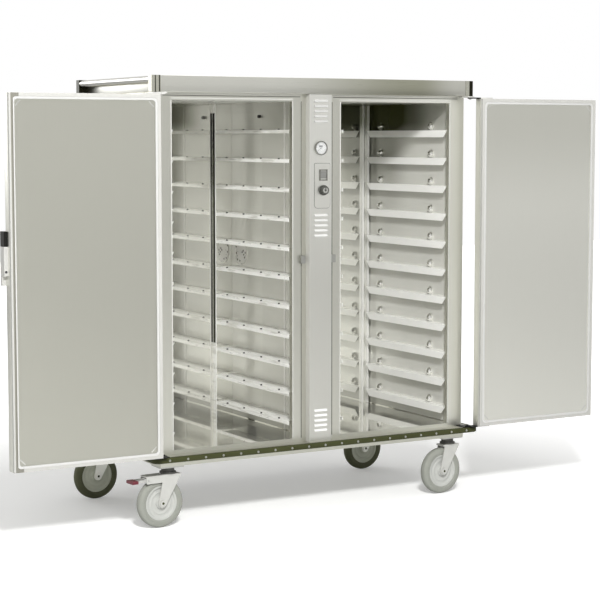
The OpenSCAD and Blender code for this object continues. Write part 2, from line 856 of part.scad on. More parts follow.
module door_inner(s) {
    y1 = door_outer_y - door_shell_t;
    color([0.83, 0.83, 0.84]) scale_x(s) {
        on_door(y1 - panel_t, y1 - panel_t + skin_t) door_field(gasket_w);
        on_door(y1 - panel_t + skin_t, y1) difference() {
            door_field(gasket_w);
            door_field(gasket_w + skin_t);
        }
        on_door(y1 - panel_t - rim_h, y1 - panel_t) difference() {
            door_field(gasket_w);
            door_field(gasket_w + rim_w);
        }
    }
}

arm_on_door = 65;
arm_len = hinge_edge_gap + arm_on_door;
arm_d = 32;
arm_eye_r = 11;

// The plates that carry the door on its pins, on top and below
module door_arms(s) {
    color([0.66, 0.66, 0.68]) scale_x(s) for (z = [door_z0 - arm_t, door_z1]) difference() {
        union() {
            translate([hinge_x, door_outer_y - arm_d, z]) cube([arm_len, arm_d, arm_t]);
            translate([hinge_x, hinge_y, z]) cylinder(r = arm_eye_r, h = arm_t);
            translate([hinge_x - 2, hinge_y - arm_eye_r, z]) cube([arm_eye_r, arm_eye_r + 4, arm_t]);
        }
        translate([hinge_x, hinge_y, z - eps]) cylinder(r = hinge_pin_r + pin_fit, h = arm_t + 2 * eps);
    }
}

// Latches

latch_out = 15;
lever_t = 8;
lever_z0 = latch_z0 + 4;
lever_z1 = latch_z1 - 56;
lever_pin_z = lever_z1 - 8;
lever_pin_r = 3;

module latch_case(s) {
    y_out = door_outer_y + latch_out;
    color([0.70, 0.70, 0.71]) scale_x(s) difference() {
        union() {
            span([latch_x0, door_outer_y, latch_z0], [latch_x1, y_out, latch_z1]);
            span([door_x1, door_outer_y - 24, latch_z0 + 37], [latch_x1, y_out, latch_z1]);
        }
        // Pocket of the lever
        span([latch_x0 + 6, y_out - lever_t - 1, latch_z0 - eps],
             [latch_x1 - 6, y_out + eps, lever_z1 + 1]);
        translate([0, y_out - lever_t / 2, lever_pin_z])
            bar_x(lever_pin_r + pin_fit, latch_x0 + 2, latch_x1 - 2);
    }
}

module latch_lever(s) {
    y_out = door_outer_y + latch_out;
    color(black) scale_x(s) {
        translate([0, y_out - lever_t / 2, lever_pin_z]) {
            bar_x(lever_pin_r, latch_x0 + 2.3, latch_x1 - 2.3);
            bar_x(lever_t / 2, latch_x0 + 6.5, latch_x1 - 6.5);
        }
        span([latch_x0 + 6.5, y_out - lever_t, lever_z0 + 14], [latch_x1 - 6.5, y_out, lever_pin_z]);
        // Finger end of the lever
        span([latch_x0 + 6.5, y_out - lever_t, lever_z0], [latch_x1 - 6.5, y_out + 8, lever_z0 + 14]);
    }
}

// Casters

// Moves a caster to its corner; sx and sy give the corner
module at_corner(sx, sy) {
    translate([sx * swivel_x, sy * swivel_y, 0]) children();
}

// Turns a caster to the way it trails on that side
module trailing(sx) {
    rotate([0, 0, sx < 0 ? left_trail_angle : right_trail_angle]) children();
}

module caster_plates() {
    color([0.72, 0.72, 0.73]) for (sx = [-1, 1], sy = [-1, 1]) at_corner(sx, sy) {
        translate([-caster_plate[0] / 2, -caster_plate[1] / 2, base_z0 - caster_plate[2]])
            cube(caster_plate);
        translate([0, 0, crown_z0 - nut_h - running_gap]) {
            cylinder(r = kingpin_r, h = base_z0 - crown_z0 + nut_h - caster_plate[2] + 1);
            cylinder(r = nut_r, h = nut_h);
        }
    }
}

// One side of a fork, drawn with the trail along +X
module fork_leg(braked) {
    rotate([90, 0, 0]) linear_extrude(leg_t) difference() {
        union() {
            polygon([[-crown_back, crown_z0 + 1], [crown_fore - 8, crown_z0 + 1],
                     [trail + leg_foot_r - 1, axle_z + 6], [trail - leg_foot_r + 2, axle_z - 8]]);
            translate([trail, axle_z]) circle(leg_foot_r);
            if (braked) translate([-crown_back / 2, crown_z0 - housing_h + 1])
                square([pedal_u + crown_back / 2 + 8, housing_h]);
        }
        translate([trail, axle_z]) circle(axle_r + press_fit);
        if (braked) translate([pedal_u, pedal_z]) circle(pedal_pin_r + pin_fit);
    }
}

module fork(sx, sy, braked) {
    half = leg_in + leg_t;
    color([0.74, 0.74, 0.75]) at_corner(sx, sy) trailing(sx) {
        difference() {
            union() {
                translate([-crown_back, -half, crown_z0])
                    cube([crown_back + (braked ? pedal_u + 8 : crown_fore), 2 * half, crown_t]);
                translate([0, 0, crown_z1]) cylinder(r = race_r[0], h = race_h / 3);
                translate([0, 0, crown_z1]) cylinder(r = race_r[1], h = race_h);
                for (v = [-leg_in, half]) translate([0, v, 0]) fork_leg(braked);
            }
            translate([0, 0, crown_z0 - eps]) cylinder(r = kingpin_r + pin_fit, h = crown_t + race_h + 2 * eps);
        }
        // Axle with its two heads
        translate([trail, 0, axle_z]) {
            bar_y(axle_r, -half - 1, half + 1);
            bar_y(axle_head_r, half + seam, half + 5);
            bar_y(axle_head_r, -half - 5, -half - seam);
        }
    }
}

module tyre(sx, sy) {
    r = wheel_d / 2;
    half = tyre_w / 2;
    color([0.42, 0.42, 0.43]) at_corner(sx, sy) trailing(sx)
        translate([trail, 0, axle_z]) rotate([90, 0, 0]) rotate_extrude($fn = 96)
            polygon([[rim_r, -half + 3], [rim_r + 4, -half], [r - 7, -half], [r - 2, -half + 6],
                     [r, -half + 13], [r, half - 13], [r - 2, half - 6], [r - 7, half],
                     [rim_r + 4, half], [rim_r, half - 3]]);
}

module hub(sx, sy) {
    half = tyre_w / 2;
    color([0.80, 0.80, 0.80]) at_corner(sx, sy) trailing(sx)
        translate([trail, 0, axle_z]) rotate([90, 0, 0]) rotate_extrude($fn = 96)
            polygon([[axle_r + pin_fit, -half - 2], [22, -half - 2], [24, -8], [rim_r - 8, -8],
                     [rim_r - 6, -half + 3], [rim_r, -half + 3], [rim_r, half - 3],
                     [rim_r - 6, half - 3], [rim_r - 8, 8], [24, 8], [22, half + 2],
                     [axle_r + pin_fit, half + 2]]);
}

pedal_arm = 44;
pedal_foot = 28;

module brake_pedal(sx, sy) {
    half = leg_in - 1;
    color([0.78, 0.07, 0.06]) at_corner(sx, sy) trailing(sx) translate([pedal_u, 0, pedal_z]) {
        bar_y(pedal_pin_r, -half - 3, half + 3);
        bar_y(2 * pedal_pin_r, -half, half);
        translate([0, -half, -6]) cube([pedal_arm, 2 * half, 10]);
        translate([pedal_arm, -half - 5, -8]) cube([pedal_foot, 2 * half + 10, 12]);
    }
}

base_pan();
deck_plate();
bumper_strip();
bumper_rivets();
side_panels();
back_panel();
front_frame();
compartment_liners();
insulation();
roof_cover();
push_bars();
push_bar_brackets();
hinge_brackets();
centre_column();
control_plate();
thermometer_bezel();
thermometer_dial();
thermometer_needle();
thermometer_glass();
switch_bezel();
switch_rocker();
thermostat_knob();
thermostat_body();
duct_panel();
fan_guard();
fan_impeller();
fan_motor();
heating_element();
inner_racks();
outer_runners();
tray_guides();
door_strikers();
power_inlet();
door_shell(-1);  // door_left_shell
door_inner(-1);  // door_left_inner
door_gasket(-1);  // door_left_gasket
door_arms(-1);  // door_left_arms
latch_case(-1);  // latch_left_case
latch_lever(-1);  // latch_left_lever
door_shell(1);  // door_right_shell
door_inner(1);  // door_right_inner
door_gasket(1);  // door_right_gasket
door_arms(1);  // door_right_arms
latch_case(1);  // latch_right_case
latch_lever(1);  // latch_right_lever
caster_plates();
fork(-1, -1, true);  // fork_front_left
tyre(-1, -1);  // tyre_front_left
hub(-1, -1);  // hub_front_left
brake_pedal(-1, -1);  // brake_pedal_front
fork(-1, 1, true);  // fork_rear_left
tyre(-1, 1);  // tyre_rear_left
hub(-1, 1);  // hub_rear_left
brake_pedal(-1, 1);  // brake_pedal_rear
fork(1, -1, false);  // fork_front_right
tyre(1, -1);  // tyre_front_right
hub(1, -1);  // hub_front_right
fork(1, 1, false);  // fork_rear_right
tyre(1, 1);  // tyre_rear_right
hub(1, 1);  // hub_rear_right
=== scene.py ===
import json
import math

import bmesh
import bpy
from mathutils import Matrix, Vector


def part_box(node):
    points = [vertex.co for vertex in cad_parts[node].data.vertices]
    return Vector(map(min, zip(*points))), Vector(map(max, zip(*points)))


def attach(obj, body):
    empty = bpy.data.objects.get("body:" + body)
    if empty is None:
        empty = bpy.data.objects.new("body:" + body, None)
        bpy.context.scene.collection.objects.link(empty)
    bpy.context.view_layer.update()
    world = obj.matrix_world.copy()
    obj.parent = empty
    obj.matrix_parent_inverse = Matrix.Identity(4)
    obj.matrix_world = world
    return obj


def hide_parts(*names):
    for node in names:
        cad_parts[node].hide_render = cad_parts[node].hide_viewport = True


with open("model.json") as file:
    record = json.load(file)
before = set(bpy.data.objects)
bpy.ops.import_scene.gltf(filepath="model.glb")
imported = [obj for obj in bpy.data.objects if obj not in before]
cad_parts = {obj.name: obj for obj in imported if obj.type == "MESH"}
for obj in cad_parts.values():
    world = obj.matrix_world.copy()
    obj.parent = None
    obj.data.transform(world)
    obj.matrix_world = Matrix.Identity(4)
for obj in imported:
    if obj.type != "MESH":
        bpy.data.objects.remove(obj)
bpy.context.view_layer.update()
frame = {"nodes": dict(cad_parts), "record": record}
joints = frame["record"]["behaviour"]["joints"]
joint_at = {j["name"]: Vector(j["pos_m"]) for j in joints}
joint_axis = {j["name"]: Vector(j["axis"]) for j in joints}


# Studio
# The trolley stands on a white floor in soft light from all round, seen from
# the front left at chest height through a long lens.

class Sock:
    """A shader socket that takes part in arithmetic. Each operation adds its Math node."""

    def __init__(self, finish, socket):
        self.finish, self.socket = finish, socket

    def __add__(self, other):
        return self.finish.node("Math", {0: self, 1: other}, operation="ADD")

    def __sub__(self, other):
        return self.finish.node("Math", {0: self, 1: other}, operation="SUBTRACT")

    def __rsub__(self, other):
        return self.finish.node("Math", {0: other, 1: self}, operation="SUBTRACT")

    def __mul__(self, other):
        return self.finish.node("Math", {0: self, 1: other}, operation="MULTIPLY")

    __radd__ = __add__
    __rmul__ = __mul__


class Finish:
    """A material while it is mixed."""

    def __init__(self, name, **constants):
        self.material = bpy.data.materials.new(name)
        self.material.use_nodes = True
        self.tree = self.material.node_tree
        self.tree.nodes.clear()
        end = self.tree.nodes.new("ShaderNodeOutputMaterial")
        self.skin = self.tree.nodes.new("ShaderNodeBsdfPrincipled")
        self.tree.links.new(self.skin.outputs[0], end.inputs[0])
        self.set(**constants)

    def put(self, socket, value):
        if isinstance(value, Sock):
            self.tree.links.new(value.socket, socket)
        elif isinstance(value, tuple) and len(value) == 3 and socket.type == "RGBA":
            socket.default_value = (*value, 1)
        else:
            socket.default_value = value

    def set(self, **inputs):
        """Gives inputs of the surface their values or links."""
        for socket, value in inputs.items():
            self.put(self.skin.inputs[socket.replace("_", " ")], value)

    def node(self, kind, sockets=None, out=0, **settings):
        """Adds a node: its settings first, then the values or links of its sockets."""
        n = self.tree.nodes.new("ShaderNode" + kind)
        for key, value in settings.items():
            setattr(n, key, value)
        for key, value in (sockets or {}).items():
            self.put(n.inputs[key], value)
        return Sock(self, n.outputs[out])

    def place(self, scale=(1, 1, 1), shift=(0, 0, 0)):
        """The point on the piece in metres, scaled and shifted."""
        here = self.node("TexCoord", out="Object")
        return self.node("Mapping", {"Vector": here, "Scale": scale, "Location": shift})

    def coordinate(self, axis):
        """One coordinate of the point on the piece, in metres."""
        here = self.node("TexCoord", out="Object")
        return self.node("SeparateXYZ", {0: here}, out=axis)

    def past(self, axis, at):
        """1 where the piece lies beyond a plane across one axis, else 0."""
        return self.node("Math", {0: self.coordinate(axis), 1: at}, operation="GREATER_THAN")

    def below(self, value, limit):
        """1 where a value is under a limit, else 0."""
        return self.node("Math", {0: value, 1: limit}, operation="LESS_THAN")

    def either(self, a, b):
        """1 where one of two masks is 1."""
        return self.node("Math", {0: a, 1: b}, operation="MAXIMUM")

    def rise(self, value, start, end):
        """0 to 1 with soft ends while a value goes from start to end."""
        return self.node("MapRange", {"Value": value, "From Min": start, "From Max": end},
                         interpolation_type="SMOOTHSTEP")

    def ramp(self, axis, start, end):
        """0 to 1 along one axis of the piece, in metres."""
        return self.rise(self.coordinate(axis), start, end)

    def noise(self, where, scale, detail=2.0, rough=0.5):
        return self.node("TexNoise", {"Vector": where, "Scale": scale,
                                      "Detail": detail, "Roughness": rough})

    def blend(self, factor, a, b):
        """A colour between a and b."""
        return self.node("Mix", {0: factor, 6: a, 7: b}, out=2, data_type="RGBA")

    def level(self, factor, low, high):
        """A number between low and high as factor goes from 0 to 1."""
        return self.node("MapRange", {"Value": factor, "To Min": low, "To Max": high})

    def emboss(self, height, strength, distance):
        """Raises the surface by a height, through the shading normal."""
        self.set(Normal=self.node("Bump", {"Height": height, "Strength": strength,
                                           "Distance": distance}))


scene = bpy.context.scene
scene.view_settings.view_transform = "Standard"

eye = bpy.data.objects.new("eye", bpy.data.cameras.new("eye"))
eye.location = (-3.622, -6.499, 1.546)
eye.rotation_euler = (math.radians(84.654), 0, math.radians(-29.92))
eye.data.lens = 104.04
eye.data.sensor_width = 36
eye.data.clip_end = 60
scene.collection.objects.link(eye)
scene.camera = eye

world = bpy.data.worlds.new("studio_air")
scene.world = world
world.use_nodes = True
air = world.node_tree
air.nodes.clear()
seen = air.nodes.new("ShaderNodeLightPath")


def backdrop(strength, colour=(1, 1, 1, 1)):
    shade = air.nodes.new("ShaderNodeBackground")
    shade.inputs["Color"].default_value = colour
    shade.inputs["Strength"].default_value = strength
    return shade.outputs[0]


def by_ray(ray, without, with_ray):
    """One shade for a kind of ray and another for the rest."""
    pick = air.nodes.new("ShaderNodeMixShader")
    air.links.new(seen.outputs[ray], pick.inputs[0])
    air.links.new(without, pick.inputs[1])
    air.links.new(with_ray, pick.inputs[2])
    return pick.outputs[0]


# The camera sees pure white, the steel mirrors a softer one, and the rest lights the scene
sky = air.nodes.new("ShaderNodeOutputWorld")
mirrored_air = by_ray("Is Glossy Ray", backdrop(0.30), backdrop(0.76, (1.0, 1.0, 0.975, 1)))
air.links.new(by_ray("Is Camera Ray", mirrored_air, backdrop(1.0)), sky.inputs[0])

# The floor fades to white away from the trolley, and looks darker in the steel
bm = bmesh.new()
bmesh.ops.create_grid(bm, x_segments=2, y_segments=2, size=14)
floor_mesh = bpy.data.meshes.new("floor")
bm.to_mesh(floor_mesh)
bm.free()
floor = bpy.data.objects.new("floor", floor_mesh)
scene.collection.objects.link(floor)
floor_white = Finish("floor_white", Roughness=0.7, Emission_Color=(1, 1, 1))
away = floor_white.node("VectorMath", {0: floor_white.node("TexCoord", out="Object")},
                        out="Value", operation="LENGTH")
sweep = floor_white.node("MapRange", {"Value": away, "From Min": 1.3, "From Max": 3.2,
                                      "To Min": 0.24, "To Max": 0.95})
in_steel = floor_white.node("LightPath", out="Is Glossy Ray")
in_view = floor_white.node("LightPath", out="Is Camera Ray")
floor_white.set(Base_Color=floor_white.blend(in_steel, (0.82, 0.82, 0.81), (0.58, 0.58, 0.565)),
                Emission_Strength=in_view * sweep)
floor_mesh.materials.append(floor_white.material)


def soft_box(name, place, aim, size, power, mirrored=True):
    """A square studio lamp that faces a point, with or without its image in the steel."""
    lamp = bpy.data.lights.new(name, "AREA")
    lamp.size = size
    lamp.energy = power
    stand = bpy.data.objects.new(name, lamp)
    stand.location = place
    stand.rotation_euler = (Vector(aim) - Vector(place)).to_track_quat("-Z", "Y").to_euler()
    stand.visible_glossy = mirrored
    scene.collection.objects.link(stand)


cabinet_middle = (0, 0, 1.0)
soft_box("lamp_key", (-2.4, -5.6, 4.5), (0, 0, 0.3), 0.8, 560, mirrored=False)
soft_box("lamp_front_left", (-4.2, -5.2, 4.2), cabinet_middle, 3.2, 110, mirrored=False)
soft_box("lamp_front_right", (4.4, -5.4, 3.2), cabinet_middle, 2.4, 45, mirrored=False)
soft_box("lamp_above", (0.4, -0.6, 5.2), cabinet_middle, 3.5, 70)
soft_box("lamp_back_left", (-3.2, 5.2, 2.8), cabinet_middle, 2.4, 55)


# Base pan and deck
# A folded stainless pan carries the deck plate, both sheet steel with a satin
# brushed finish that runs along the trolley.

def grain_scale(along, across_grain, with_grain):
    """Noise scales for a grain that runs along one axis."""
    return tuple(with_grain if axis == along else across_grain for axis in "xyz")


def brushed(name, colour, along, rough=(0.26, 0.36), streak=0.05, metal=1.0):
    """Satin stainless: fine scratches along one axis, over faint cloudy patches."""
    fin = Finish(name, Metallic=metal)
    grain = fin.noise(fin.place(grain_scale(along, 900, 7)), 1.0, 3.0, 0.6)
    cloud = fin.noise(fin.place(), 2.3, 3.0)
    dark = tuple(c * (1 - streak) for c in colour)
    light = tuple(min(1, c * (1 + streak)) for c in colour)
    fin.set(Base_Color=fin.blend(grain * 0.5 + cloud * 0.5, dark, light),
            Roughness=fin.level(grain * 0.6 + cloud * 0.4, *rough))
    fin.emboss(grain, 0.05, 0.0004)
    return fin.material


steel = (0.640, 0.637, 0.570)
brushed_x = brushed("stainless_brushed_lengthways", steel, "x")
brushed_z = brushed("stainless_brushed_upright", steel, "z")


def dress(material, *nodes):
    """Gives CAD nodes their material."""
    for name in nodes:
        slots = frame["nodes"][name].data.materials
        if len(slots) == 0:
            slots.append(material)
        for i in range(len(slots)):
            slots[i] = material


dress(brushed_x, "base_pan", "deck_plate")


# Bumper
# A dark olive rubber strip runs round the deck plate, held by a row of low
# round rivet heads, and takes the knocks at door posts.

def made(name, bm, material, body, smooth=True):
    """Turns a bmesh into a piece that rides on a body."""
    bmesh.ops.remove_doubles(bm, verts=bm.verts, dist=1e-6)
    bmesh.ops.recalc_face_normals(bm, faces=bm.faces)
    mesh = bpy.data.meshes.new(name)
    bm.to_mesh(mesh)
    bm.free()
    mesh.materials.append(material)
    for polygon in mesh.polygons:
        polygon.use_smooth = smooth
    if smooth:
        mesh.set_sharp_from_angle(angle=math.radians(38))
    piece = bpy.data.objects.new(name, mesh)
    scene.collection.objects.link(piece)
    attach(piece, body)
    return piece


def rounded(bm, edges, radius, segments):
    """Rounds edges, and gives the points of the rounding."""
    return bmesh.ops.bevel(bm, geom=edges, offset=radius, offset_type="OFFSET", affect="EDGES",
                           segments=segments, profile=0.5, material=-1)["verts"]


def block(bm, low, high, edge=0.0, segments=2):
    """A box between two corners, with its edges rounded. Gives its points."""
    low, high = Vector(low), Vector(high)
    fresh = bmesh.ops.create_cube(bm, size=1)["verts"]
    bmesh.ops.scale(bm, verts=fresh, vec=high - low)
    bmesh.ops.translate(bm, verts=fresh, vec=(low + high) / 2)
    if not edge:
        return fresh
    return rounded(bm, list({e for v in fresh for e in v.link_edges}), edge, segments)


def length_on(edge, axis):
    """How far an edge runs along one axis."""
    start, end = (v.co["xyz".index(axis)] for v in edge.verts)
    return abs(start - end)


def lies_flat(face):
    return abs(face.normal.z) > 0.9


rubber = Finish("bumper_rubber", Specular_IOR_Level=0.2)
scuffs = rubber.noise(rubber.place((1, 1, 3)), 9.0, 4.0)
rubber.set(Base_Color=rubber.blend(scuffs, (0.024, 0.027, 0.008), (0.048, 0.052, 0.020)),
           Roughness=rubber.level(scuffs, 0.42, 0.66))
rubber.emboss(rubber.noise(rubber.place(), 260.0), 0.12, 0.0005)

# A block with round corners loses its middle, which leaves a band on its rim
low, high = (Vector(v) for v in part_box("bumper_strip"))
corner_radius, band, rim_radius = 0.030, 0.020, 0.004
deck_area = 0.9
bm = bmesh.new()
block(bm, low, high)
rounded(bm, [e for e in bm.edges if length_on(e, "z") > 0.01], corner_radius, 8)
bmesh.ops.inset_individual(bm, faces=[f for f in bm.faces if lies_flat(f)],
                           thickness=band, use_even_offset=True)
lids = [f for f in bm.faces if lies_flat(f) and f.calc_area() > deck_area]
bmesh.ops.bridge_loops(bm, edges=[e for f in lids for e in f.edges])
bmesh.ops.delete(bm, geom=lids, context="FACES_ONLY")
in_x, in_y = high.x - band - 0.0001, high.y - band - 0.0001
rims = [e for e in bm.edges if length_on(e, "z") < 0.001
        and any(abs(f.normal.z) < 0.1 for f in e.link_faces)
        and any(lies_flat(f) for f in e.link_faces)
        and all(abs(v.co.x) > in_x or abs(v.co.y) > in_y for v in e.verts)]
rounded(bm, rims, rim_radius, 3)
strip = made("bumper_rubber_strip", bm, rubber.material, "cabinet")
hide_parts("bumper_strip")

rivet_dull = brushed("rivet_dull_steel", (0.46, 0.46, 0.44), "x", rough=(0.38, 0.48))
dress(rivet_dull, "bumper_rivets")


# Casters
# Four swivel casters: zinc-plated plate and fork, a grey non-marking tyre
# moulded on a pale plastic hub, and red brake pedals on the left pair.

zinc = Finish("zinc_plate", Metallic=0.55)
race_bottom, race_top, fork_top = 0.2150, 0.2405, 0.25
patches = zinc.noise(zinc.place(), 42.0, 4.0)
# Painted shade: a near-black band on the swivel race, between the plate and the fork
race_painted_shade = zinc.past("Z", race_bottom) * (1 - zinc.past("Z", race_top))
# Painted light: the rear forks, under the trolley, get a much lighter copy of the zinc
rear_fork_painted_light = zinc.past("Y", 0.0) * (1 - zinc.past("Z", fork_top))
plated = zinc.blend(rear_fork_painted_light, zinc.blend(patches, (0.54, 0.54, 0.515), (0.63, 0.63, 0.60)),
                    (0.95, 0.95, 0.90))
zinc.set(Base_Color=zinc.blend(race_painted_shade * 0.9, plated, (0.03, 0.03, 0.025)),
         Roughness=zinc.level(patches, 0.30, 0.46))
zinc.emboss(patches, 0.05, 0.0005)
dress(zinc.material, "caster_plates", "fork_front_left", "fork_rear_left",
      "fork_front_right", "fork_rear_right")


def front_and_rear_painted_light(fin, pattern, front, rear):
    """Two tones on the front wheels and two others on the rear ones, mixed by a pattern; the front
    and rear difference is painted light and shade.
    """
    return fin.blend(fin.past("Y", 0.0), fin.blend(pattern, *front), fin.blend(pattern, *rear))


tyre_rubber = Finish("grey_tyre_rubber")
bloom = tyre_rubber.noise(tyre_rubber.place(), 30.0, 4.0)
# Painted shade: the rear tyres, under the trolley, are much darker than the front ones
tyre_rubber.set(Base_Color=front_and_rear_painted_light(tyre_rubber, bloom,
                                          ((0.215, 0.222, 0.195), (0.262, 0.269, 0.24)),
                                          ((0.085, 0.092, 0.045), (0.115, 0.123, 0.065))),
                Roughness=tyre_rubber.level(bloom, 0.52, 0.70))
tyre_rubber.emboss(tyre_rubber.noise(tyre_rubber.place(), 500.0), 0.10, 0.0004)

hub_plastic = Finish("pale_hub_plastic")
wear = hub_plastic.noise(hub_plastic.place(), 24.0, 4.0)
# Painted light: the rear hubs, in the trolley's shadow, are made lighter than the front ones
hub_plastic.set(Base_Color=front_and_rear_painted_light(hub_plastic, wear,
                                          ((0.36, 0.365, 0.345), (0.42, 0.425, 0.40)),
                                          ((0.52, 0.54, 0.45), (0.60, 0.62, 0.52))),
                Roughness=hub_plastic.level(wear, 0.34, 0.50))
hub_plastic.emboss(wear, 0.04, 0.0006)


def turned(bm, profile, steps=64):
    """Spins a profile of (radius, height) points round Z into a closed ring or solid."""
    points = [bm.verts.new((r, 0, h)) for r, h in profile]
    rims = [bm.edges.new(pair) for pair in zip(points, points[1:])]
    bmesh.ops.spin(bm, geom=points + rims, cent=(0, 0, 0), axis=(0, 0, 1),
                   angle=math.tau, steps=steps, use_merge=True, use_duplicate=False)


def stand_on(bm, axis, centre, verts=None):
    """Turns a shape made round Z to a given axis and carries it to its centre."""
    turn = Vector((0, 0, 1)).rotation_difference(axis).to_matrix().to_4x4()
    bmesh.ops.transform(bm, matrix=Matrix.Translation(centre) @ turn, verts=verts or bm.verts)


# Half a cross-section of each, as (radius, height from the wheel's middle)
half_tyre = [(0.0700, 0.0150), (0.0740, 0.0180), (0.0800, 0.0180), (0.0806, 0.0169),
             (0.0826, 0.0169), (0.0832, 0.0178), (0.0920, 0.0172), (0.0972, 0.0136),
             (0.0995, 0.0076), (0.0998, 0.0)]
half_hub = [(0.0082, 0.0200), (0.0150, 0.0200), (0.0220, 0.0192), (0.0240, 0.0172),
            (0.0250, 0.0132), (0.0290, 0.0112), (0.0420, 0.0106), (0.0430, 0.0112),
            (0.0445, 0.0112), (0.0455, 0.0104), (0.0570, 0.0100), (0.0610, 0.0120),
            (0.0625, 0.0146), (0.0640, 0.0150), (0.0698, 0.0150), (0.0700, 0.0142)]
half_socket = [(0.0001, 0.0308), (0.0052, 0.0308), (0.0052, 0.0314), (0.0001, 0.0314),
               (0.0001, 0.0308)]

for corner in ("front_left", "rear_left", "front_right", "rear_right"):
    axis, centre = joint_axis["roll_" + corner], joint_at["roll_" + corner]
    bm = bmesh.new()
    turned(bm, half_tyre + [(r, -h) for r, h in reversed(half_tyre[:-1])] + [half_tyre[0]], 72)
    stand_on(bm, axis, centre)
    tread = made("tyre_tread_" + corner, bm, tyre_rubber.material, "wheel_" + corner)
    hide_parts("tyre_" + corner)

    bm = bmesh.new()
    turned(bm, half_hub + [(r, -h) for r, h in reversed(half_hub)] + [half_hub[0]], 72)
    stand_on(bm, axis, centre)
    disc = made("hub_disc_" + corner, bm, hub_plastic.material, "wheel_" + corner)
    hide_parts("hub_" + corner)

    # Sockets in the two axle heads
    bm = bmesh.new()
    for end in (-1, 1):
        turned(bm, [(r, end * h) for r, h in half_socket], 24)
    stand_on(bm, axis, centre)
    made("axle_sockets_" + corner, bm, rubber.material, "caster_" + corner)

# The pedal's pad is red and its arm is plated
pad_length = 0.030
pedal_red = Finish("pedal_red", Coat_Weight=0.2)
rub = pedal_red.noise(pedal_red.place(), 60.0, 3.0)
arm = pedal_red.past("X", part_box("brake_pedal_front")[0][0] + pad_length)
pad = pedal_red.blend(rub, (0.095, 0.009, 0.017), (0.13, 0.013, 0.024))
pedal_red.set(Base_Color=pedal_red.blend(arm, pad, (0.50, 0.50, 0.48)),
              Metallic=arm * 0.5, Roughness=pedal_red.level(rub, 0.32, 0.46))
dress(pedal_red.material, "brake_pedal_front", "brake_pedal_rear")


# Cabinet skin
# Side panels, back panel and front frame are 1 mm stainless sheet, brushed
# upright on the sides and on the frame round the two openings.

dress(brushed_z, "side_panels", "back_panel")
jambs = Finish("stainless_front_frame")
scratch = jambs.noise(jambs.place(grain_scale("z", 900, 7)), 1.0, 3.0)
# Painted light and shade: the frame's tone rises from darker on the left to much lighter on the
# right
to_right = jambs.ramp("X", 0.20, 0.66)
shaded_left_tone = jambs.blend(scratch, (0.66, 0.657, 0.60), (0.70, 0.697, 0.64))
lit_right_tone = jambs.blend(scratch, (0.90, 0.897, 0.83), (0.96, 0.957, 0.89))
jambs.set(Base_Color=jambs.blend(to_right, shaded_left_tone, lit_right_tone),
          Metallic=1 - to_right * 0.03, Roughness=jambs.level(scratch, 0.27, 0.36))
dress(jambs.material, "front_frame")

# A rolled bead edges each opening; thin dark strips painted as shadow run under the roof and
# beside the column
bead = brushed("frame_bead_steel", (0.56, 0.557, 0.525), "z", rough=(0.30, 0.38), metal=0.35)
painted_shadow = Finish("frame_painted_shadow")
mottle = painted_shadow.noise(painted_shadow.place(), 40.0)
painted_shadow.set(Base_Color=painted_shadow.blend(mottle, (0.10, 0.10, 0.085), (0.15, 0.15, 0.13)),
           Roughness=painted_shadow.level(mottle, 0.5, 0.7))
frame_low = Vector(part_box("front_frame")[0])
open_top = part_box("inner_racks")[1][2]
upright = (frame_low.z + 0.015, open_top)


def above_opening(start, end):
    return open_top + start, open_top + end


bead_strips = ((0.1112, 0.1155, upright), (0.6585, 0.6628, upright),
               (0.1112, 0.6628, above_opening(0.0060, 0.0100)),
               (0.0740, 0.7000, above_opening(0.0240, 0.0270)))
shadow_strips = ((0.0705, 0.0760, upright),
                 (0.0780, 0.7000, above_opening(0.0170, 0.0200)))


def side_block(bm, side, near, far, ys, zs, edge=0.0):
    """A box on one side of the trolley, its X range counted outward from the middle."""
    xs = sorted((side * near, side * far))
    block(bm, (xs[0], ys[0], zs[0]), (xs[1], ys[1], zs[1]), edge, 1)


for name, proud, material, strips in (("frame_beads", 0.0003, bead, bead_strips),
                                      ("frame_grooves", 0.0002, painted_shadow.material, shadow_strips)):
    bm = bmesh.new()
    for side in (-1, 1):
        for near, far, zs in strips:
            side_block(bm, side, near, far, (frame_low.y - proud, frame_low.y + 0.0001), zs)
    made(name, bm, material, "cabinet", smooth=False)


# Liners and insulation
# Each compartment is a polished box whose back wall and floor mirror the
# racks, with mineral wool slabs behind it that never show.

liner = Finish("stainless_liner")
back_wall_y, floor_top_z = 0.3405, 0.3115
back = liner.past("Y", back_wall_y)
sole = 1 - liner.past("Z", floor_top_z)
mirror = liner.either(back, sole)
grain = liner.noise(liner.place(grain_scale("y", 260, 5)), 1.0, 2.0)
wave = liner.noise(liner.place((1.4, 1.4, 3.0)), 2.2, 2.0)

# Painted shade: the right compartment's walls darken towards the back and the top, and the left
# one's back wall darkens near the top
deep, high_up, top = (liner.ramp("Y", -0.02, 0.17), liner.ramp("Z", 0.95, 1.62),
                      liner.ramp("Z", 1.54, 1.62))
side_wall_shade = (1 - back) * deep * high_up * 0.58
outer_wall = liner.past("X", 0.3)
right_painted_shade = outer_wall * (side_wall_shade + top * (0.40 + liner.ramp("Y", -0.20, 0.0) * 0.42))
left_painted_shade = back * top * liner.ramp("X", -0.17, -0.28)
unshaded = liner.blend(sole, liner.blend(wave, (0.80, 0.797, 0.750), (0.87, 0.867, 0.820)),
                    (0.88, 0.877, 0.82))
liner.set(Base_Color=liner.blend(right_painted_shade + left_painted_shade * 0.7, unshaded, (0.070, 0.076, 0.022)),
          Metallic=0.50 + mirror * 0.42,
          Roughness=(1 - mirror) * liner.level(grain, 0.25, 0.275) + mirror * 0.045)
liner.emboss(wave, 0.08, 0.003)
dress(liner.material, "compartment_liners")

